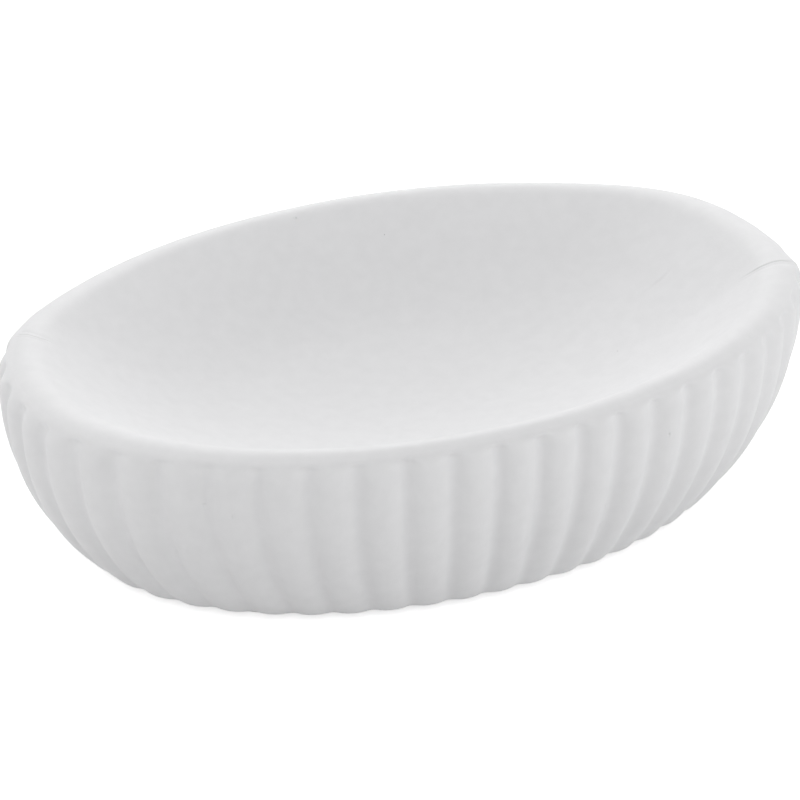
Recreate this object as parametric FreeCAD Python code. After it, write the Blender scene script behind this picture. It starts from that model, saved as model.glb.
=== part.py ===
# An oval soap dish: one cast body with a basin, a rim and upright reeds round its outside,
# and four soft pads stuck in seats under its foot. Lengths are in millimetres, angles in degrees.
# The origin is on the surface that the dish stands on, under the dish's middle.
# +X points along the dish's length, +Y across it and +Z up.
import FreeCAD, Part
import math
import os

# Body. The length and width are those of the oval that touches every reed's crown.
dish_length = 140.0
dish_width = 94.0
body_height = 33.5

# Outer wall: it stands straight up at its top and bows in to the foot.
# The inset is measured at the dish's two ends.
wall_top_height = 30.9
foot_inset = 13.6

# Rim, as the long section cuts it: a band slopes up from the widest outline to a rounded crest.
# The band's width and drop run from the top of the crest to the band's outer edge.
rim_band_width = 5.3
rim_band_drop = 1.6
crest_radius = 6.0

# Basin, as the long section cuts it. From the crest it goes down in a straight slope, then
# in a blending arc until it is only as steep as the floor's edge, then in a very shallow arc.
basin_slope_angle = 33.0
basin_blend_radius = 69.5
basin_floor_edge_angle = 12.0
basin_floor_radius = 144.0

# Reeds: rounded upright ribs, evenly spaced along the widest outline. The band cuts across
# their tops, so the valleys between them notch its outer edge.
reed_count = 48
reed_depth = 0.8
reed_section_count = 7

# Underside: a level foot ring round an oval hollow
foot_ring_width = 13.0
hollow_depth = 9.5
hollow_corner_radius = 4.0

# Pads, each in a round seat in the middle of the foot ring.
# The angle places them on the ring's middle oval, counted from the long axis.
pad_diameter = 9.0
pad_thickness = 1.8
pad_edge_chamfer = 0.3
pad_seat_depth = 1.2
pad_seat_clearance = 0.2
pad_angle = 42.0

# Cutting tools reach this far past the faces that they open
tool_overrun = 2.0

# Steps along the outline when its length is measured
outline_step_count = 7200

half_length = dish_length / 2
half_width = dish_width / 2
width_share = dish_width / dish_length
foot_height = pad_thickness - pad_seat_depth
foot_half_length = half_length - foot_inset
foot_half_width = half_width - foot_inset * width_share
column_top = body_height + tool_overrun
tool_top = column_top + tool_overrun
up = FreeCAD.Vector(0, 0, 1)


def section_point(x, z):
    """A point of the long section, where x runs out from the dish's axis."""
    return FreeCAD.Vector(x, 0, z)


def section_arc(centre, radius, first_angle, last_angle):
    """An arc of the long section. Angles are counted from the vertical, outwards."""
    points = []
    for angle in (first_angle, (first_angle + last_angle) / 2, last_angle):
        turn = math.radians(angle)
        x = centre.x + radius * math.sin(turn)
        z = centre.z + radius * math.cos(turn)
        points.append(section_point(x, z))
    return Part.Arc(*points).toShape()


def oval_solid(edges):
    """Turn a closed section round the dish's axis, then narrow it to the dish's width."""
    solid = Part.Face(Part.Wire(edges)).revolve(FreeCAD.Vector(0, 0, 0), up, 360)
    narrowing = FreeCAD.Matrix()
    narrowing.scale(1, width_share, 1)
    return solid.transformGeometry(narrowing)


def line(start, end):
    return Part.LineSegment(start, end).toShape()


def wall_inset(height):
    """How far the wall lies inside the widest outline, at the dish's ends.

    The wall is an arc that is upright at wall_top_height and lies foot_inset in at the foot.
    """
    radius = (wall_top_height**2 + foot_inset**2) / (2 * foot_inset)
    drop = wall_top_height - height
    return radius - math.sqrt(radius**2 - drop**2)


def even_angles(count):
    """Angles of the widest oval's formula that part its length evenly, from the +X end on."""
    angles = [2 * math.pi * step / outline_step_count for step in range(outline_step_count + 1)]
    points = [(half_length * math.cos(a), half_width * math.sin(a)) for a in angles]
    lengths = [0]
    for start, end in zip(points, points[1:]):
        lengths.append(lengths[-1] + math.dist(start, end))
    result = []
    step = 0
    for index in range(count):
        wanted = lengths[-1] * index / count
        while lengths[step + 1] < wanted:
            step += 1
        rest = (wanted - lengths[step]) / (lengths[step + 1] - lengths[step])
        result.append(angles[step] + rest * (angles[step + 1] - angles[step]))
    return result


def reed_outline(height, angles):
    """The closed outline of all reeds at one height: an arc over each reed, valley to valley.

    Valleys have the even places in angles and crowns the odd ones, so each end of the dish
    has a valley in its middle.
    """
    end_inset = wall_inset(height)
    side_inset = end_inset * width_share

    def place(index):
        depth = reed_depth * ((index + 1) % 2)
        angle = angles[index % len(angles)]
        x = (half_length - end_inset - depth) * math.cos(angle)
        y = (half_width - side_inset - depth) * math.sin(angle)
        return FreeCAD.Vector(x, y, height)

    arcs = []
    for crown in range(1, len(angles), 2):
        arc = Part.Arc(place(crown - 1), place(crown), place(crown + 1))
        arcs.append(arc.toShape())
    return Part.Wire(arcs)


def reeded_column():
    """The outside with its reeds, solid right through and taller than the dish."""
    angles = even_angles(2 * reed_count)
    outlines = []
    for level in range(reed_section_count):
        height = wall_top_height * level / (reed_section_count - 1)
        outlines.append(reed_outline(height, angles))
    bowed = Part.makeLoft(outlines, True)
    upright = Part.Face(outlines[-1]).extrude(up * (column_top - wall_top_height))
    return bowed.fuse(upright)


# The crest's arc has this centre, and the band's slope is the one that touches it
crest_centre = section_point(half_length - rim_band_width, body_height - crest_radius)
rim_edge = section_point(half_length, body_height - rim_band_drop)
edge_to_centre = crest_centre - rim_edge
band_angle = math.degrees(
    math.atan2(edge_to_centre.z, -edge_to_centre.x)
    + math.asin(crest_radius / edge_to_centre.Length)
)


def basin_arc(centre, radius, first_slope, last_slope):
    """An arc of the basin that grows from one slope to a steeper one, from inside outwards."""
    return section_arc(centre, radius, 180 - first_slope, 180 - last_slope)


def basin_section(slope_top):
    """The basin from its middle out to the top of its slope, as three edges."""
    slope = math.radians(basin_slope_angle)
    floor_edge_slope = math.radians(basin_floor_edge_angle)

    floor_edge_x = basin_floor_radius * math.sin(floor_edge_slope)
    blend_run = basin_blend_radius * (math.sin(slope) - math.sin(floor_edge_slope))
    slope_run = slope_top.x - floor_edge_x - blend_run
    slope_end = slope_top - section_point(slope_run, slope_run * math.tan(slope))

    to_blend_centre = section_point(-math.sin(slope), math.cos(slope)) * basin_blend_radius
    blend_centre = slope_end + to_blend_centre
    blend = basin_arc(blend_centre, basin_blend_radius, basin_floor_edge_angle, basin_slope_angle)

    floor_edge = blend.Vertexes[0].Point
    floor_centre_height = floor_edge.z + basin_floor_radius * math.cos(floor_edge_slope)
    floor_centre = section_point(0, floor_centre_height)
    floor = basin_arc(floor_centre, basin_floor_radius, 0, basin_floor_edge_angle)
    return [floor, blend, line(slope_end, slope_top)]


def mouth_tool():
    """All the space above the dish: its basin, and what lies over the crest and the band."""
    crest = section_arc(crest_centre, crest_radius, -basin_slope_angle, band_angle)
    basin = basin_section(crest.Vertexes[0].Point)
    floor_middle = basin[0].Vertexes[0].Point

    band_drop = tool_overrun * math.tan(math.radians(band_angle))
    band_end = rim_edge + section_point(tool_overrun, -band_drop)
    outer_top = section_point(band_end.x, tool_top)
    middle_top = section_point(0, tool_top)
    return oval_solid([
        *basin,
        crest,
        line(crest.Vertexes[-1].Point, band_end),
        line(band_end, outer_top),
        line(outer_top, middle_top),
        line(middle_top, floor_middle),
    ])


def hollow_tool():
    """The oval hollow inside the foot ring, with a rounded corner under its ceiling."""
    half_x = foot_half_length - foot_ring_width
    half_y = foot_half_width - foot_ring_width
    start = FreeCAD.Vector(0, 0, -tool_overrun)
    outline = Part.Ellipse(start, half_x, half_y).toShape()
    block = Part.Face(Part.Wire([outline])).extrude(up * (hollow_depth + tool_overrun))
    ceiling_edges = [e for e in block.Edges if e.BoundBox.ZMin > 0]
    return block.makeFillet(hollow_corner_radius, ceiling_edges)


def pad_places():
    """Each pad's name and the middle of its seat, seen from above."""
    x = (foot_half_length - foot_ring_width / 2) * math.cos(math.radians(pad_angle))
    y = (foot_half_width - foot_ring_width / 2) * math.sin(math.radians(pad_angle))
    places = {}
    for side_name, side in (("front", -1), ("back", 1)):
        for end_name, end in (("left", -1), ("right", 1)):
            name = "foot_pad_" + side_name + "_" + end_name
            places[name] = FreeCAD.Vector(end * x, side * y, 0)
    return places


def seat_tool(place):
    """The round seat of one pad, opened downwards."""
    radius = pad_diameter / 2 + pad_seat_clearance
    start = place - up * tool_overrun
    return Part.makeCylinder(radius, pad_seat_depth + tool_overrun, start)


def foot_pad(place):
    """One pad, from the floor up to the top of its seat, with a bevelled lower edge."""
    pad = Part.makeCylinder(pad_diameter / 2, pad_thickness, place)
    lower_edges = [e for e in pad.Edges if e.BoundBox.ZMax < pad_edge_chamfer]
    return pad.makeChamfer(pad_edge_chamfer, lower_edges)


def dish_body():
    """The cast body, standing at its height over the floor."""
    body = reeded_column().cut(mouth_tool()).cut(hollow_tool())
    for place in pad_places().values():
        body = body.cut(seat_tool(place))
    body.translate(up * foot_height)
    return body.Solids[0]


os.makedirs("parts", exist_ok=True)
dish_body().exportStep("parts/dish_body.step")
for name, place in pad_places().items():
    foot_pad(place).exportStep("parts/" + name + ".step")
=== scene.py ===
# %% [markdown]
# # An oval soap dish with reeds
#
# This lesson dresses a small bathroom piece: a matte white soap dish, cast in one piece, with a
# shallow basin and upright rounded ribs, called reeds, round its bowed outside. The CAD model
# gives the true sizes. Blender adds what a mould and a hand give the real thing: softened
# edges, small flaws and a chalky skin.

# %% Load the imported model
import math

import bmesh
import bpy
from mathutils import Matrix, Vector, noise


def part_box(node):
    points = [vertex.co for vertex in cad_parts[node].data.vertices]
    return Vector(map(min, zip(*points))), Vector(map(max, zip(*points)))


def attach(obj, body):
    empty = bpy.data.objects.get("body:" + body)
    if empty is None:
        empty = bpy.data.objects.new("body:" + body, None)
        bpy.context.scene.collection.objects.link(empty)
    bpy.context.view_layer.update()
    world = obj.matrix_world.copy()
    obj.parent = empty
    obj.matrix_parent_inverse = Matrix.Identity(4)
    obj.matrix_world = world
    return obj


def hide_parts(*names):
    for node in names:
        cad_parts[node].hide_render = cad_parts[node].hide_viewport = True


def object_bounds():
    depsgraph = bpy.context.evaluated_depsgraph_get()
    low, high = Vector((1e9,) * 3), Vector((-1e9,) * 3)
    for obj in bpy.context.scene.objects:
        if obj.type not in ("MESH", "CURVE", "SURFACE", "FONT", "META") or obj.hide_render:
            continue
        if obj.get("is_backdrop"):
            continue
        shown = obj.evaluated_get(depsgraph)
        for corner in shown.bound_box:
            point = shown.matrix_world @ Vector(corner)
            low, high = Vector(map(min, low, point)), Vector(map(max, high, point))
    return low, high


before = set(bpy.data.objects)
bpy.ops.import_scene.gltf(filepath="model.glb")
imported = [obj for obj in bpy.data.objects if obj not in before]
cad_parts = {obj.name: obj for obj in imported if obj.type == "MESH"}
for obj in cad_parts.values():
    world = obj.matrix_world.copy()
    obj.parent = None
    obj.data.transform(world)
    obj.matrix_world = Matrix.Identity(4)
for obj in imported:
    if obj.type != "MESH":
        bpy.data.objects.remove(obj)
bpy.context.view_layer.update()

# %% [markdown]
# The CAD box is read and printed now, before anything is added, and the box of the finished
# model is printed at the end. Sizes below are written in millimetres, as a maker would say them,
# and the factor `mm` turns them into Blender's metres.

mm = 0.001
body_low, body_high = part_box("dish_body")
pad_names = sorted(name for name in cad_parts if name.startswith("foot_pad"))
print("CAD body, mm:", [round(side / mm, 1) for side in body_high - body_low])
print("Pads:", pad_names)

# %% [markdown]
# A dish like this is designed as one long section that is turned round an upright axis and then
# squeezed to an oval. These are the section's driving sizes. Heights count from the surface
# that the dish stands on, and `out` counts from the dish's axis to its end. The crest is the
# rim's highest line: `crest_out` and `crest_centre` place the centre of its rounding.

# %% The long section's sizes
half_length = 70.0
half_width = 47.0
width_share = half_width / half_length
foot_height = body_low.z / mm
top_height = body_high.z / mm

wall_top = foot_height + 29.2
foot_out = half_length - 13.6
wall_rise = wall_top - foot_height
wall_reach = half_length - foot_out
wall_radius = (wall_rise**2 + wall_reach**2) / (2 * wall_reach)
foot_edge_radius = 1.6

rim_edge = top_height - 1.6
rim_edge_radius = 3.6
crest_radius = 6.0
crest_out = half_length - 5.3
crest_centre = top_height - crest_radius

slope_angle = math.radians(33.0)
blend_radius = 69.5
floor_angle = math.radians(12.0)
floor_radius = 144.0

foot_ring_width = 13.0
hollow_out = foot_out - foot_ring_width
hollow_across = foot_out * width_share - foot_ring_width
hollow_top = foot_height + 9.5
hollow_corner = 4.0
hollow_edge_radius = 0.6
basin_level = hollow_top + 1.0  # between the hollow's ceiling and the basin's floor
print("Wall's arc radius, mm:", round(wall_radius, 1))

# %% [markdown]
# The section is traced like a pen line. `bmesh.ops.extrude_vert_indiv` draws a straight
# stretch from the last point, and `bmesh.ops.spin` swings the last point about a centre for an
# arc. That keeps every curve a true arc with as many points as it needs.

# %% A pen that traces the section
class Pen:
    """Draws one outline in the XZ plane, in millimetres, from point to point."""

    def __init__(self, bm, out, height):
        self.bm = bm
        self.tip = bm.verts.new((out, 0, height))

    def line(self, out, height, steps=1):
        """Draw straight to a point, in equal steps."""
        start = self.tip.co.copy()
        end = Vector((out, 0, height))
        for step in range(steps):
            made = bmesh.ops.extrude_vert_indiv(self.bm, verts=[self.tip])
            self.tip = made["verts"][0]
            self.tip.co = start.lerp(end, (step + 1) / steps)

    def arc(self, out, height, turn, steps):
        """Swing the tip about a centre. A positive turn runs from +X towards +Z."""
        made = bmesh.ops.spin(
            self.bm, geom=[self.tip], cent=(out, 0, height), axis=(0, -1, 0),
            angle=turn, steps=steps, use_duplicate=False,
        )
        ends = [part for part in made["geom_last"] if isinstance(part, bmesh.types.BMVert)]
        self.tip = ends[0]


# %% [markdown]
# Where two stretches meet, the rounding between them touches both. These few sums give the
# centres of the rounded foot edge and of the rounded outer rim edge, and of the two arcs that
# bring the basin's slope down to its middle: a tighter one, then a very shallow one.

# %% Centres of the roundings
wall_centre = Vector((half_length - wall_radius, 0, wall_top))

foot_edge_height = foot_height + foot_edge_radius
foot_edge_out = wall_centre.x + math.sqrt(
    (wall_radius - foot_edge_radius) ** 2 - (wall_top - foot_edge_height) ** 2
)
foot_edge_turn = math.pi / 2 - math.atan2(
    wall_top - foot_edge_height, foot_edge_out - wall_centre.x
)
wall_turn = math.pi / 2 - foot_edge_turn

crest_run = half_length - crest_out
crest_rise = crest_centre - rim_edge
crest_distance = math.hypot(crest_run, crest_rise)
band_angle = math.atan2(crest_rise, crest_run) + math.asin(crest_radius / crest_distance)
rim_edge_turn = math.pi / 2 - band_angle
rim_edge_start = rim_edge - rim_edge_radius * math.tan(rim_edge_turn / 2)

slope_top_out = crest_out - crest_radius * math.sin(slope_angle)
slope_top_height = crest_centre + crest_radius * math.cos(slope_angle)
floor_out = floor_radius * math.sin(floor_angle)
slope_end_out = floor_out + blend_radius * (math.sin(slope_angle) - math.sin(floor_angle))
slope_end_height = slope_top_height - (slope_top_out - slope_end_out) * math.tan(slope_angle)
blend_centre = Vector((
    slope_end_out - blend_radius * math.sin(slope_angle), 0,
    slope_end_height + blend_radius * math.cos(slope_angle),
))
blend_end_height = blend_centre.z - blend_radius * math.cos(floor_angle)
floor_height = blend_end_height - floor_radius * (1 - math.cos(floor_angle))
print("Band slope, degrees:", round(math.degrees(band_angle), 1))
print("Basin depth, mm:", round(top_height - floor_height, 1))

# %% [markdown]
# The pen starts under the dish, in the middle of the hollow's ceiling, runs out over the foot
# ring, up the bowed wall, over the rim and down into the basin, and ends on the axis again.

# %% Trace the section
casting_mesh = bmesh.new()
pen = Pen(casting_mesh, 0, hollow_top)
pen.line(hollow_out - hollow_corner, hollow_top, steps=4)
pen.arc(hollow_out - hollow_corner, hollow_top - hollow_corner, -math.pi / 2, steps=6)
pen.line(hollow_out, foot_height + hollow_edge_radius, steps=2)
pen.arc(hollow_out + hollow_edge_radius, foot_height + hollow_edge_radius, math.pi / 2, steps=4)
pen.line(foot_edge_out, foot_height, steps=8)
pen.arc(foot_edge_out, foot_edge_height, foot_edge_turn, steps=5)
pen.arc(wall_centre.x, wall_centre.z, wall_turn, steps=24)
pen.line(half_length, rim_edge_start)
pen.arc(half_length - rim_edge_radius, rim_edge_start, rim_edge_turn, steps=10)
pen.line(
    crest_out + crest_radius * math.sin(band_angle),
    crest_centre + crest_radius * math.cos(band_angle), steps=6,
)
pen.arc(crest_out, crest_centre, band_angle + slope_angle, steps=14)
pen.line(slope_end_out, slope_end_height, steps=4)
pen.arc(blend_centre.x, blend_centre.z, floor_angle - slope_angle, steps=10)
pen.arc(0, floor_height + floor_radius, -floor_angle, steps=6)
print("Points in the section:", len(casting_mesh.verts))

# %% [markdown]
# The dish is forty-eight equal wedges, one to a reed. A short spin turns the section into one
# wedge, sixteen steps wide so that the rib gets a smooth curve, and a second spin copies the
# wedge round. Points that then share a place are merged, on the axis too.

# %% Spin one wedge and copy it round
reed_count = 48
steps_per_reed = 16
reed_turn = 2 * math.pi / reed_count
merge_distance = 0.001

bmesh.ops.spin(
    casting_mesh, geom=casting_mesh.verts[:] + casting_mesh.edges[:],
    cent=(0, 0, 0), axis=(0, 0, 1), angle=reed_turn, steps=steps_per_reed,
    use_merge=False, use_duplicate=False,
)
bmesh.ops.spin(
    casting_mesh, geom=casting_mesh.verts[:] + casting_mesh.edges[:] + casting_mesh.faces[:],
    cent=(0, 0, 0), axis=(0, 0, 1), angle=reed_turn * (reed_count - 1), steps=reed_count - 1,
    use_merge=False, use_duplicate=True,
)
bmesh.ops.remove_doubles(casting_mesh, verts=casting_mesh.verts[:], dist=merge_distance)
print("Faces after the spins:", len(casting_mesh.faces))

# %% [markdown]
# On the real dish the reeds are evenly spaced along the oval's edge, not in even angles. So the
# columns of points are shifted round the axis first: this table gives, for each place along
# the edge, the angle of the oval's formula that belongs to it.

# %% Even places along the oval
table_steps = 2880
edge_lengths = [0.0]
for step in range(table_steps):
    angle = 2 * math.pi * (step + 0.5) / table_steps
    piece = math.hypot(half_length * math.sin(angle), half_width * math.cos(angle))
    edge_lengths.append(edge_lengths[-1] + piece)


def oval_angle(share):
    """The angle of the oval's formula at a share of its way round, from the +X end."""
    wanted = share * edge_lengths[-1]
    low, high = 0, table_steps
    while high - low > 1:
        middle = (low + high) // 2
        if edge_lengths[middle] <= wanted:
            low = middle
        else:
            high = middle
    rest = (wanted - edge_lengths[low]) / (edge_lengths[high] - edge_lengths[low])
    return 2 * math.pi * (low + rest) / table_steps


# %% [markdown]
# A reed's cross-section is a low arch, and two reeds meet in a valley that the mould and the
# rubbing down have softened. The depth below the crowns is therefore an arch, whose power a
# little over 2 makes its crown flatter than an arc's, with its sharp bottom replaced by a
# parabola. In the photograph the tone turns round over the last seventh of a reed on each side
# of a valley, which gives the parabola's half width.

# %% The reeds' cross-section
reed_depth = 1.8
reed_power = 2.2
reed_width = edge_lengths[-1] * 2 * math.pi / table_steps / reed_count
valley_half_width = 1.15


def reed_inset(phase):
    """Depth below the crown, where phase runs from 0 in one valley to 1 in the next."""
    half = reed_width / 2
    away = min(phase, 1 - phase) * reed_width
    if away >= valley_half_width:
        return reed_depth * (1 - away / half) ** reed_power
    edge = 1 - valley_half_width / half
    steepness = reed_power * reed_depth * edge ** (reed_power - 1) / half
    bottom = reed_depth * edge**reed_power + steepness * valley_half_width / 2
    return bottom - steepness * away**2 / (2 * valley_half_width)


def ease(value, low, high):
    """0 below low, 1 above high, and a smooth step between."""
    share = min(max((value - low) / (high - low), 0), 1)
    return share * share * (3 - 2 * share)


print("Reed width, mm:", round(reed_width, 2), "valley depth, mm:", round(reed_inset(0), 2))

# %% [markdown]
# The valleys begin in soft round tops on the rim's rounded edge, run down the wall, lose nearly
# half their depth towards the foot and die away on the foot ring. So each section point takes
# only a share of the reed's depth.

# %% Where the reeds are deep
valley_top = foot_height + 32.6
valley_top_reach = 1.4
foot_share = 0.55
foot_fade_height = 8.0
ring_reach = 3.0
level_slack = 0.01


def squeeze_share(out, height):
    """Width over length of the level that a point belongs to. The hollow is a longer oval."""
    if height > basin_level or out > foot_edge_out:
        return width_share
    hollow_share = hollow_across / hollow_out
    return hollow_share + (width_share - hollow_share) * ease(out, hollow_out, foot_edge_out)


def is_outside(out, height):
    """Whether a section point is on the wall, the foot or the band, not in basin or hollow."""
    return out > max(hollow_out + 2 * hollow_edge_radius, crest_out - (top_height - height))


def reed_share(out, height):
    """How much of the reed's depth a point takes."""
    if not is_outside(out, height):
        return 0.0
    if height < foot_height + level_slack:
        return foot_share * ease(out, foot_edge_out - ring_reach, foot_edge_out)
    risen = ease(height, foot_height, foot_height + foot_fade_height)
    low_share = foot_share + (1 - foot_share) * risen
    return low_share * (1 - ease(height, valley_top - valley_top_reach, valley_top))


print("Share of the depth at mid wall:", reed_share(half_length, top_height / 2))
print("Share of the depth on the crest:", reed_share(crest_out, top_height))

# %% [markdown]
# The real dish isn't a perfect oval, and a computer's perfect one would look wrong beside it.
# Its far right shoulder is fuller by almost two millimetres and its far left one by more than
# one. Soft bumps along the outline, made by `near`, add these, a small bulge and two shallow
# dents, the last of which keeps the right end inside the CAD length. The foot sits half a
# millimetre back, and the reeds drift and lean from their even places by up to a millimetre.

# %% The hand-made outline
swells = [
    # middle of the bump in degrees of the oval's formula, its half width, how far it stands out
    (27.0, 15.0, 1.9),
    (147.0, 12.0, 1.2),
    (176.0, 10.0, -0.35),
    (-15.0, 6.0, 0.7),
    (4.5, 5.0, -0.12),
]
swell_start_out = 30.0
foot_shift = Vector((0.25, 0.5, 0))
reed_drift = math.radians(0.6)
drift_waves = 3
drift_start = 0.67
reed_lean = math.radians(1.0)
lean_middle = math.radians(-45)


def near(angle, middle, spread):
    """1 at the middle of a bump along the outline, falling softly to 0. All in degrees."""
    away = (angle - middle + 180) % 360 - 180
    return math.exp(-((away / spread) ** 2))


def outline_swell(angle, out):
    """How far a section point stands out from the perfect oval."""
    turned = math.degrees(angle)
    amount = sum(size * near(turned, middle, spread) for middle, spread, size in swells)
    return amount * ease(out, swell_start_out, half_length)


shoulder = math.radians(swells[0][0])
print("Swell at the right shoulder, mm:", round(outline_swell(shoulder, half_length), 2))

# %% [markdown]
# Now the round blank becomes the dish. Each point moves in three steps: round the axis to its
# even place, across to the oval, and in by the reed's depth. Columns are first gathered near
# the valleys, where the shape bends fast, so that the crowns don't use up all the points. The
# shift and the lean grow towards the foot, from nothing at the top of the wall.

# %% Squeeze to the oval and press the reeds
column_gather = 0.2


def gathered(share):
    """Move a place along the edge towards the nearest valley, which itself stays."""
    phase = share * reed_count % 1.0
    return share - column_gather * math.sin(2 * math.pi * phase) / (2 * math.pi * reed_count)


for vert in casting_mesh.verts:
    out = math.hypot(vert.co.x, vert.co.y)
    height = vert.co.z
    if out < merge_distance:
        continue
    share = gathered((math.atan2(vert.co.y, vert.co.x) / (2 * math.pi)) % 1.0) % 1.0
    drift = reed_drift * math.cos(drift_waves * 2 * math.pi * share - drift_start)
    angle = oval_angle(share) + drift
    inset = reed_inset(share * reed_count % 1.0) * reed_share(out, height)
    in_basin = height > basin_level and not is_outside(out, height)
    low_share = 0 if in_basin else (1 - min(height / wall_top, 1)) ** 2
    angle += reed_lean * low_share * (1 + math.cos(angle - lean_middle)) / 2
    stretched = out + outline_swell(angle, out)
    x = (stretched - inset) * math.cos(angle)
    y = (stretched * squeeze_share(out, height) - inset) * math.sin(angle)
    vert.co = Vector((x, y, height)) + foot_shift * low_share

bmesh.ops.recalc_face_normals(casting_mesh, faces=casting_mesh.faces[:])
for label, axis in (("Length, mm:", 0), ("Width, mm:", 1)):
    places = [vert.co[axis] for vert in casting_mesh.verts]
    print(label, round(max(places) - min(places), 2))

# %% [markdown]
# Cast pieces are never perfect. The mould's faces wander by hundredths of a millimetre, so a
# slow noise sinks the skin here and there. It only ever sinks, so that the dish stays inside its
# CAD size, and the level foot ring is left alone so that the dish stands flat.

# %% A little hand-made wobble
wobble_depth = 0.1
wobble_size = 14.0
wobble_middle = 0.6
wobble_swing = 0.5
casting_mesh.normal_update()
for vert in casting_mesh.verts:
    if vert.co.z > foot_height + foot_edge_radius:
        wander = noise.noise(vert.co / wobble_size)
        sink = wobble_depth * (wobble_middle + wobble_swing * wander)
        vert.co -= vert.normal * sink
print("Points:", len(casting_mesh.verts))

# %% [markdown]
# Near both ends the real rim has a crease, where the soft casting was lifted from its mould: a
# hair-thin furrow with a raised lip on one side and a soft hollow on the other. Such a flaw
# needs a finer mesh, but only there. So the faces near the furrow's path are subdivided, and
# their points are then moved along their normals: down on the path, and slightly up beside it.
# Paths are as seen from above, and a crease fades towards both of its ends.

# %% Creases in the rim
crease_reach = 1.6
crease_depth = 0.13
crease_half_width = 0.16
lip_height = 0.05
lip_distance = 0.36
lip_half_width = 0.2
dip_distance = 0.75
dip_half_width = 0.55
dip_depth = 0.09
crease_full_from = 0.3
crease_full_until = 0.9
crease_lowest = rim_edge_start - 2.0
crease_cuts = 3
creases = {
    # name: (points of the path, side of the lip)
    "left": ([(-55.2, 18.1), (-57.4, 19.0), (-58.3, 20.0), (-58.9, 21.0), (-59.9, 22.7)], 1),
    "right": ([
        (56.8, -9.4), (58.1, -10.3), (59.6, -11.0), (61.3, -11.6), (64.1, -11.6),
        (67.0, -11.3), (69.2, -10.4),
    ], 1),
}


def near_path(point, path):
    """How far a point is to the left of a path, and its share of the way along it."""
    flat = point.to_2d()
    passed = 0.0
    nearest = None
    for start, end in zip(path, path[1:]):
        run = end - start
        share = min(max((flat - start).dot(run) / run.length_squared, 0), 1)
        offset = flat - start.lerp(end, share)
        if nearest is None or offset.length < abs(nearest[0]):
            side = math.copysign(offset.length, run.cross(offset))
            nearest = (side, passed + share * run.length)
        passed += run.length
    return nearest[0], nearest[1] / passed


def refine(chosen, cuts):
    """Subdivide the edges of the chosen faces, each edge once and always in the same order."""
    edges = list(dict.fromkeys(edge for face in chosen for edge in face.edges))
    bmesh.ops.subdivide_edges(casting_mesh, edges=edges, cuts=cuts, use_grid_fill=True)


for name, (points, lip_side) in creases.items():
    path = [Vector(point) for point in points]
    crossed = []
    for face in casting_mesh.faces:
        centre = face.calc_center_median()
        if centre.z > crease_lowest and abs(near_path(centre, path)[0]) < crease_reach:
            crossed.append(face)
    refine(crossed, crease_cuts)
    casting_mesh.normal_update()
    moved = 0
    for vert in casting_mesh.verts:
        if vert.co.z < crease_lowest:
            continue
        away, along = near_path(vert.co, path)
        if abs(away) > crease_reach:
            continue
        strength = ease(along, 0.0, crease_full_from) * (1 - ease(along, crease_full_until, 1.0))
        furrow = crease_depth * math.exp(-(away / crease_half_width) ** 2)
        lip = lip_height * math.exp(-((away * lip_side - lip_distance) / lip_half_width) ** 2)
        dip = dip_depth * math.exp(-((away * lip_side + dip_distance) / dip_half_width) ** 2)
        vert.co += vert.normal * (lip - furrow - dip) * strength
        moved += 1
    print("Crease", name, "moved points:", moved)

# %% [markdown]
# The slip also left a few pinholes and specks. Each is made like the creases: the faces round
# its place are subdivided, and the points inside its radius sink, or rise where the speck is a
# grain that stands proud.

# %% Pinholes and specks
flaws = [
    # x, y, z, radius, depth; a negative depth stands proud
    (-51.3, -31.5, 25.0, 0.32, 0.32),
    (-47.8, -33.9, 25.0, 0.24, 0.24),
    (25.3, -43.5, 26.1, 0.34, 0.34),
    (-54.1, -25.9, 14.6, 0.3, -0.16),
    (14.4, -43.5, 14.4, 0.36, -0.2),
    (51.0, 4.9, 26.7, 0.34, 0.24),
    (-0.4, 41.5, 33.3, 0.28, 0.2),
]
flaw_reach = 2.5
flaw_margin = 0.3
flaw_cuts = 4
for x, y, z, radius, depth in flaws:
    place = Vector((x, y, z))
    nearest = min(casting_mesh.verts, key=lambda vert: (vert.co - place).length_squared)
    middle = nearest.co.copy()
    reach = flaw_reach * radius + flaw_margin
    refine([
        face for face in casting_mesh.faces
        if (face.calc_center_median() - middle).length < reach
    ], flaw_cuts)
    casting_mesh.normal_update()
    for vert in casting_mesh.verts:
        away = (vert.co - middle).length / radius
        if away < 1:
            vert.co -= vert.normal * depth * (1 - away**2) ** 2
print("Pinholes and specks:", len(flaws))

# %% [markdown]
# The finished skin becomes an object.

# %% Make the casting's object
bmesh.ops.scale(casting_mesh, vec=(mm, mm, mm), verts=casting_mesh.verts[:])
casting_data = bpy.data.meshes.new("dish_casting")
casting_mesh.to_mesh(casting_data)
casting_mesh.free()
casting_data.shade_smooth()
casting = bpy.data.objects.new("dish_casting", casting_data)
bpy.context.scene.collection.objects.link(casting)
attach(casting, "root")
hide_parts("dish_body")


def triangle_count(mesh):
    """How many triangles a mesh has when its faces are split."""
    return sum(len(face.vertices) - 2 for face in mesh.polygons)


print("Casting, triangles:", triangle_count(casting_data))

# %% [markdown]
# Each pad sits in a round seat in the foot ring. A seat is a plain drilled hole, so a Boolean
# modifier cuts all four with one cutter, and its result is kept as the casting's mesh. The
# seats' corners are then marked sharp by their angle. The mark is taken off again above the
# seats, where a crease or a pinhole can be as steep but has to stay soft.

# %% Cut the pads' seats
seat_clearance = 0.2
seat_overrun = 1.0
seat_segments = 96
sharp_angle = math.radians(62)
touching = 0.01
pad_boxes = {name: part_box(name) for name in pad_names}

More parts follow.
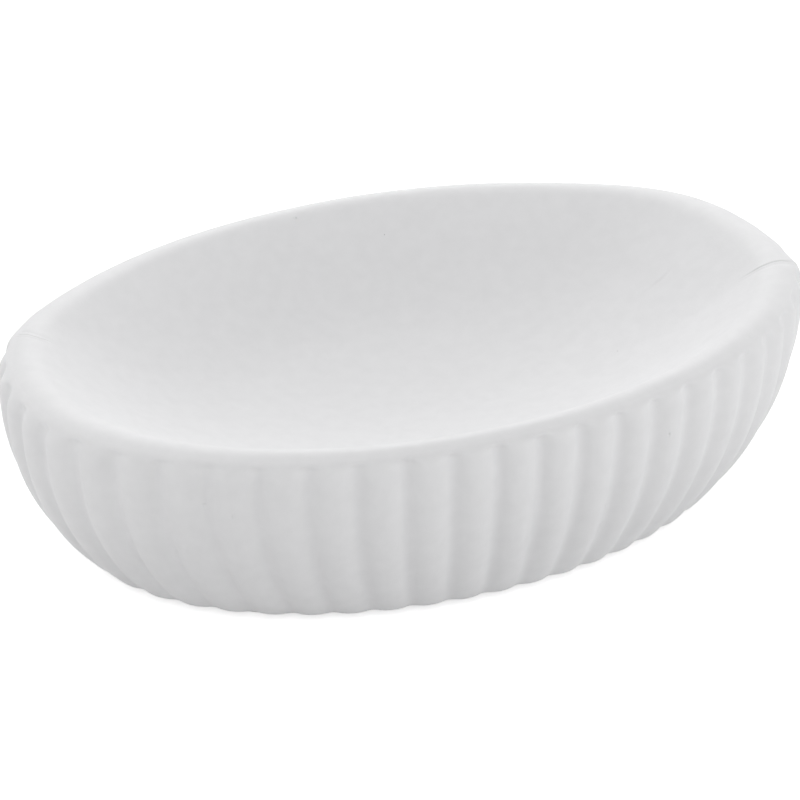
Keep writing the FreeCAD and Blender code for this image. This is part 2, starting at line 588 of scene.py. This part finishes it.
seat_mesh = bmesh.new()
for low, high in pad_boxes.values():
    seat_radius = (high.x - low.x) / 2 + seat_clearance * mm
    seat_depth = high.z - low.z + seat_overrun * mm
    middle = Vector(((low.x + high.x) / 2, (low.y + high.y) / 2, high.z - seat_depth / 2))
    bmesh.ops.create_cone(
        seat_mesh, cap_ends=True, segments=seat_segments, radius1=seat_radius,
        radius2=seat_radius, depth=seat_depth, matrix=Matrix.Translation(middle),
    )
seat_data = bpy.data.meshes.new("seat_cutter")
seat_mesh.to_mesh(seat_data)
seat_mesh.free()
seat_cutter = bpy.data.objects.new("seat_cutter", seat_data)
bpy.context.scene.collection.objects.link(seat_cutter)
cut = casting.modifiers.new("seats", "BOOLEAN")
cut.operation = "DIFFERENCE"
cut.solver = "EXACT"
cut.object = seat_cutter
cut_casting = casting.evaluated_get(bpy.context.evaluated_depsgraph_get())
casting_data = bpy.data.meshes.new_from_object(cut_casting)
casting.modifiers.clear()
casting.data = casting_data
bpy.data.objects.remove(seat_cutter)
casting_data.shade_smooth()
casting_data.set_sharp_from_angle(angle=sharp_angle)
seat_top = max(high.z for low, high in pad_boxes.values()) + touching * mm
for edge in casting_data.edges:
    above_seats = any(casting_data.vertices[index].co.z > seat_top for index in edge.vertices)
    edge.use_edge_sharp = edge.use_edge_sharp and not above_seats
print("Casting with seats, triangles:", triangle_count(casting_data))

# %% [markdown]
# The pads are small dots of soft rubber, sold on a sheet and pressed in by hand. They are
# punched or moulded with a rounded lower edge, so each one is a short cylinder whose lower rim
# is bevelled in several steps. A narrow inset keeps the flat faces flat when shading is smooth.

# %% Soft pads
pad_edge_radius = 0.4
pad_top_radius = 0.12
pad_segments = 64
pad_edge_steps = 5
cap_inset = 0.15

pads = []
for name, (low, high) in pad_boxes.items():
    pad_mesh = bmesh.new()
    bmesh.ops.create_cone(
        pad_mesh, cap_ends=True, segments=pad_segments, radius1=(high.x - low.x) / 2,
        radius2=(high.x - low.x) / 2, depth=high.z - low.z,
        matrix=Matrix.Translation((low + high) / 2),
    )
    for level, radius in ((low.z, pad_edge_radius), (high.z, pad_top_radius)):
        rim = [
            edge for edge in pad_mesh.edges
            if all(abs(vert.co.z - level) < touching * mm for vert in edge.verts)
        ]
        bmesh.ops.bevel(
            pad_mesh, geom=rim, offset=radius * mm, segments=pad_edge_steps,
            profile=0.5, affect="EDGES", material=-1,
        )
    caps = [face for face in pad_mesh.faces if len(face.verts) == pad_segments]
    bmesh.ops.inset_individual(pad_mesh, faces=caps, thickness=cap_inset * mm, depth=0)
    bmesh.ops.recalc_face_normals(pad_mesh, faces=pad_mesh.faces[:])
    pad_data = bpy.data.meshes.new("soft_" + name)
    pad_mesh.to_mesh(pad_data)
    pad_mesh.free()
    pad_data.shade_smooth()
    pad = bpy.data.objects.new("soft_" + name, pad_data)
    bpy.context.scene.collection.objects.link(pad)
    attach(pad, "root")
    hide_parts(name)
    pads.append(pad)
print("Pads:", len(pads), "faces each:", len(pads[0].data.polygons))

# %% [markdown]
# Two small helpers for all materials: one turns the colour a painter would read from a screen
# into the linear numbers that light sums need, the other adds one node with its settings.

# %% Helpers for materials
def linear(hex_colour):
    """An sRGB hex colour as the linear RGBA that Blender's sockets take."""
    channels = [int(hex_colour[place:place + 2], 16) / 255 for place in (1, 3, 5)]
    turned = [c / 12.92 if c <= 0.04045 else ((c + 0.055) / 1.055) ** 2.4 for c in channels]
    return (*turned, 1.0)


def add_node(tree, kind, settings=None, links=None):
    """Add one node. Inputs go by name, or by number where two share a name."""
    node = tree.nodes.new(kind)
    for name, value in (settings or {}).items():
        if isinstance(name, int) or name in node.inputs:
            node.inputs[name].default_value = value
        else:
            setattr(node, name, value)
    for name, socket in (links or {}).items():
        tree.links.new(socket, node.inputs[name])
    return node


def new_material(name):
    """A material whose node tree is still empty."""
    material = bpy.data.materials.new(name)
    material.use_nodes = True
    material.node_tree.nodes.clear()
    return material


def per_metre(size):
    """The scale of a pattern whose marks are this many millimetres apart."""
    return 1 / (size * mm)


print("White in linear light:", linear("#FFFFFF"))

# %% [markdown]
# The body is matte cast ceramic: a mineral slip poured in a mould, rubbed smooth and left
# without a glossy glaze. To the eye that is a chalky, slightly cool white that scatters light,
# with soft clouds of tone 2 to 3 mm wide, a grain of about half a millimetre that roughens the
# shading, and here and there a pinhole where an air bubble broke at the skin. The pinholes'
# grey, #BDBDBF, is painted shade for the shade that falls into them. The colour stays near
# #E7E7E8 so that no light clips it to white. Noise seldom leaves the range from 0.3 to 0.7, so
# that range is stretched over the two tones.

# %% Matte cast ceramic
ceramic = new_material("matte_cast_ceramic")
tree = ceramic.node_tree
cloud_size = 2.5
grain_size = 0.55
pore_spacing = 6.0
pore_radius = 0.12
pore_share = 0.4
grain_height = 0.012
cloud_height = 0.006
pore_depth = 0.08
noise_range = {"From Min": 0.3, "From Max": 0.7}

place = add_node(tree, "ShaderNodeTexCoord").outputs["Object"]
clouds = add_node(tree, "ShaderNodeTexNoise", {
    "Scale": per_metre(cloud_size), "Detail": 3.0,
}, {"Vector": place})
grain = add_node(tree, "ShaderNodeTexNoise", {
    "Scale": per_metre(grain_size), "Detail": 2.0,
}, {"Vector": place})
cells = add_node(tree, "ShaderNodeTexVoronoi", {
    "Scale": per_metre(pore_spacing),
}, {"Vector": place})
hole = add_node(tree, "ShaderNodeMapRange", {
    "interpolation_type": "SMOOTHSTEP", "From Min": pore_radius / pore_spacing,
    "From Max": pore_radius / pore_spacing / 2, "To Min": 0.0, "To Max": 1.0,
}, {"Value": cells.outputs["Distance"]})
lot = add_node(tree, "ShaderNodeSeparateColor", links={"Color": cells.outputs["Color"]})
drawn = add_node(tree, "ShaderNodeMath", {"operation": "LESS_THAN", 1: pore_share}, {
    0: lot.outputs["Red"],
})
pore_dents_and_painted_shade = add_node(tree, "ShaderNodeMath", {"operation": "MULTIPLY"}, {
    0: hole.outputs["Result"], 1: drawn.outputs["Value"],
})
tone = add_node(tree, "ShaderNodeMapRange", noise_range, {"Value": clouds.outputs["Fac"]})
skin_colour = add_node(tree, "ShaderNodeMix", {
    "data_type": "RGBA", 6: linear("#E6E6E7"), 7: linear("#E9E9EA"),
}, {0: tone.outputs["Result"]})
# Painted shade: the pinholes are painted a darker grey, #BDBDBF, for the shade inside them.
skin_with_painted_pore_shade = add_node(tree, "ShaderNodeMix", {"data_type": "RGBA", 7: linear("#BDBDBF")}, {
    0: pore_dents_and_painted_shade.outputs["Value"], 6: skin_colour.outputs[2],
})
dullness = add_node(tree, "ShaderNodeMapRange", {
    **noise_range, "To Min": 0.57, "To Max": 0.67,
}, {"Value": grain.outputs["Fac"]})
cloud_bump = add_node(tree, "ShaderNodeBump", {"Distance": cloud_height * mm}, {
    "Height": clouds.outputs["Fac"],
})
grain_bump = add_node(tree, "ShaderNodeBump", {"Distance": grain_height * mm}, {
    "Height": grain.outputs["Fac"], "Normal": cloud_bump.outputs["Normal"],
})
pore_bump = add_node(tree, "ShaderNodeBump", {"Distance": pore_depth * mm, "invert": True}, {
    "Height": pore_dents_and_painted_shade.outputs["Value"], "Normal": grain_bump.outputs["Normal"],
})
shader = add_node(tree, "ShaderNodeBsdfPrincipled", {"IOR": 1.5}, {
    "Base Color": skin_with_painted_pore_shade.outputs[2], "Roughness": dullness.outputs["Result"],
    "Normal": pore_bump.outputs["Normal"],
})
add_node(tree, "ShaderNodeOutputMaterial", links={"Surface": shader.outputs["BSDF"]})
casting_data.materials.clear()
casting_data.materials.append(ceramic)
print("Ceramic nodes:", len(tree.nodes))

# %% [markdown]
# The pads are frosted soft rubber, moulded in sheets. It is milky and grey rather than white,
# and its fine moulded grain blurs every reflection. The grain is drawn at 0.4 mm, coarser than
# the real one, which would be too fine to show.

# %% Frosted soft rubber
rubber = new_material("frosted_soft_rubber")
tree = rubber.node_tree
rubber_grain_size = 0.4
rubber_grain_height = 0.01

place = add_node(tree, "ShaderNodeTexCoord").outputs["Object"]
frost = add_node(tree, "ShaderNodeTexNoise", {
    "Scale": per_metre(rubber_grain_size),
}, {"Vector": place})
milkiness = add_node(tree, "ShaderNodeMix", {
    "data_type": "RGBA", 6: linear("#CFCFCD"), 7: linear("#D9D9D7"),
}, {0: frost.outputs["Fac"]})
dullness = add_node(tree, "ShaderNodeMapRange", {
    **noise_range, "To Min": 0.4, "To Max": 0.5,
}, {"Value": frost.outputs["Fac"]})
frost_bump = add_node(tree, "ShaderNodeBump", {"Distance": rubber_grain_height * mm}, {
    "Height": frost.outputs["Fac"],
})
shader = add_node(tree, "ShaderNodeBsdfPrincipled", {"IOR": 1.43}, {
    "Base Color": milkiness.outputs[2], "Roughness": dullness.outputs["Result"],
    "Normal": frost_bump.outputs["Normal"],
})
add_node(tree, "ShaderNodeOutputMaterial", links={"Surface": shader.outputs["BSDF"]})
for pad in pads:
    pad.data.materials.append(rubber)
print("Rubber nodes:", len(tree.nodes))

# %% [markdown]
# The dish stands on a large sheet of white paper that melts into the background. The paper is
# an ordinary matte surface to the light, so it keeps the dish's shadow and throws light up at
# the wall. Only to the camera, and to the rays that mirror or pass through, it glows a little
# as well, which turns it pure white without putting more light on the dish.

# %% Paper floor
floor_half_size = 3.0
paper_glow = 0.62


def seen_rays(tree):
    """1 for the rays that look at the background: camera, glossy and transmission rays."""
    rays = add_node(tree, "ShaderNodeLightPath")
    some = add_node(tree, "ShaderNodeMath", {"operation": "MAXIMUM"}, {
        0: rays.outputs["Is Camera Ray"], 1: rays.outputs["Is Glossy Ray"],
    })
    every = add_node(tree, "ShaderNodeMath", {"operation": "MAXIMUM"}, {
        0: some.outputs["Value"], 1: rays.outputs["Is Transmission Ray"],
    })
    return every.outputs["Value"]


floor_mesh = bmesh.new()
bmesh.ops.create_grid(floor_mesh, x_segments=1, y_segments=1, size=floor_half_size)
floor_data = bpy.data.meshes.new("floor")
floor_mesh.to_mesh(floor_data)
floor_mesh.free()
floor = bpy.data.objects.new("floor", floor_data)
bpy.context.scene.collection.objects.link(floor)
floor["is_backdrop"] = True

paper = new_material("white_paper")
tree = paper.node_tree
matte = add_node(tree, "ShaderNodeBsdfDiffuse", {"Color": linear("#E6E6E6")})
glow = add_node(tree, "ShaderNodeEmission", {"Strength": paper_glow})
glowing = add_node(tree, "ShaderNodeAddShader", links={
    0: matte.outputs["BSDF"], 1: glow.outputs["Emission"],
})
chosen = add_node(tree, "ShaderNodeMixShader", links={
    0: seen_rays(tree), 1: matte.outputs["BSDF"], 2: glowing.outputs["Shader"],
})
add_node(tree, "ShaderNodeOutputMaterial", links={"Surface": chosen.outputs["Shader"]})
floor_data.materials.append(paper)
print("Floor side, m:", 2 * floor_half_size)

# %% [markdown]
# A product studio surrounds a white object with white walls. Their even light is the world's:
# weak where it lights the dish, so that the shape keeps its shading, and a plain white of
# strength 1 for the rays that only look at it.

# %% Even light of the studio
studio_light = 0.23
world = bpy.data.worlds.new("studio")
bpy.context.scene.world = world
world.use_nodes = True
tree = world.node_tree
tree.nodes.clear()
even = add_node(tree, "ShaderNodeBackground", {"Color": (1, 1, 1, 1), "Strength": studio_light})
white = add_node(tree, "ShaderNodeBackground", {"Color": (1, 1, 1, 1), "Strength": 1.0})
chosen = add_node(tree, "ShaderNodeMixShader", links={
    0: seen_rays(tree), 1: even.outputs["Background"], 2: white.outputs["Background"],
})
add_node(tree, "ShaderNodeOutputWorld", links={"Surface": chosen.outputs["Shader"]})
print("Studio light:", studio_light)

# %% [markdown]
# Round softboxes make the shape read. One high behind the dish draws the bright line along the
# crest, those at the right light the right flank of each reed, and those in front and at the
# left lift the wall. Each is named for its place and aimed at the dish. Their powers were found
# by rendering the dish with one lamp at a time and adding up the pictures.

# %% Softboxes
softboxes = {
    # name: (azimuth, elevation, power in W)
    "back_top": (180.0, 55.0, 2.0),
    "back_right": (150.0, 30.0, 2.5),
    "back_left": (-120.0, 30.0, 1.3),
    "left_top": (-60.0, 55.0, 0.75),
    "left_low": (-90.0, 8.0, 1.1),
    "left": (-90.0, 30.0, 0.25),
    "front_left": (-30.0, 30.0, 0.35),
    "front_low": (0.0, 8.0, 1.8),
    "front_top": (0.0, 55.0, 0.15),
    "right_low": (45.0, 8.0, 1.35),
    "right": (60.0, 30.0, 0.95),
    "side_right": (90.0, 30.0, 0.4),
    "side_right_low": (90.0, 8.0, 0.65),
}
softbox_distance = 0.9
softbox_size = 0.6


def direction(azimuth, elevation):
    """The way from the dish to a camera or lamp. Azimuth 0 is in front, at -Y."""
    a, e = math.radians(azimuth), math.radians(elevation)
    return Vector((math.sin(a) * math.cos(e), -math.cos(a) * math.cos(e), math.sin(e)))


for name, (azimuth, elevation, power) in softboxes.items():
    lamp = bpy.data.lights.new(name, "AREA")
    lamp.shape = "DISK"
    lamp.size = softbox_size
    lamp.energy = power
    lamp_object = bpy.data.objects.new(name, lamp)
    way_out = direction(azimuth, elevation)
    lamp_object.location = way_out * softbox_distance
    lamp_object.rotation_euler = (-way_out).to_track_quat("-Z", "Y").to_euler()
    bpy.context.scene.collection.objects.link(lamp_object)
total_power = sum(power for azimuth, elevation, power in softboxes.values())
print("Softboxes:", len(softboxes), "power in all, W:", round(total_power, 1))

# %% [markdown]
# The camera stands where the photograph's outline, rim line and reeds say it stood: in front
# and to the left, looking down by 29 degrees through a long lens. The fit gave the focal length
# in pixels of the 800 pixel frame, and the point that the lens is aimed at, in millimetres to
# the right of and above the point under the dish's middle.

# %% Camera
camera_azimuth = -26.632
camera_elevation = 28.823
camera_distance = 851.2
camera_roll = -0.216
focal_pixels = 5084.7
image_pixels = 800
sensor_width = 36.0
aim_right, aim_up = -1.25, 15.01

back = direction(camera_azimuth, camera_elevation)
turned = math.radians(camera_azimuth)
roll = Matrix.Rotation(math.radians(camera_roll), 3, back)
right = roll @ Vector((math.cos(turned), math.sin(turned), 0))
up = back.cross(right)
base = Vector((0, 0, foot_height)) * mm
aim = base + (right * aim_right + up * aim_up) * mm
camera = bpy.data.cameras.new("camera")
camera.sensor_width = sensor_width
camera.lens = focal_pixels * sensor_width / image_pixels
camera.clip_start = 0.05
camera.clip_end = 10
camera_object = bpy.data.objects.new("camera", camera)
place = base + back * camera_distance * mm
look = (place - aim).normalized()
side_way = up.cross(look).normalized()
up_way = look.cross(side_way)
turn = Matrix((side_way, up_way, look)).transposed().to_4x4()
camera_object.matrix_world = Matrix.Translation(place) @ turn
bpy.context.scene.collection.objects.link(camera_object)
bpy.context.scene.camera = camera_object
bpy.context.scene.view_settings.view_transform = "Standard"
print("Lens, mm:", round(camera.lens, 1))

# %% Finish
low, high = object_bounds()
print("Visual size, mm:", [round(side / mm, 2) for side in high - low])
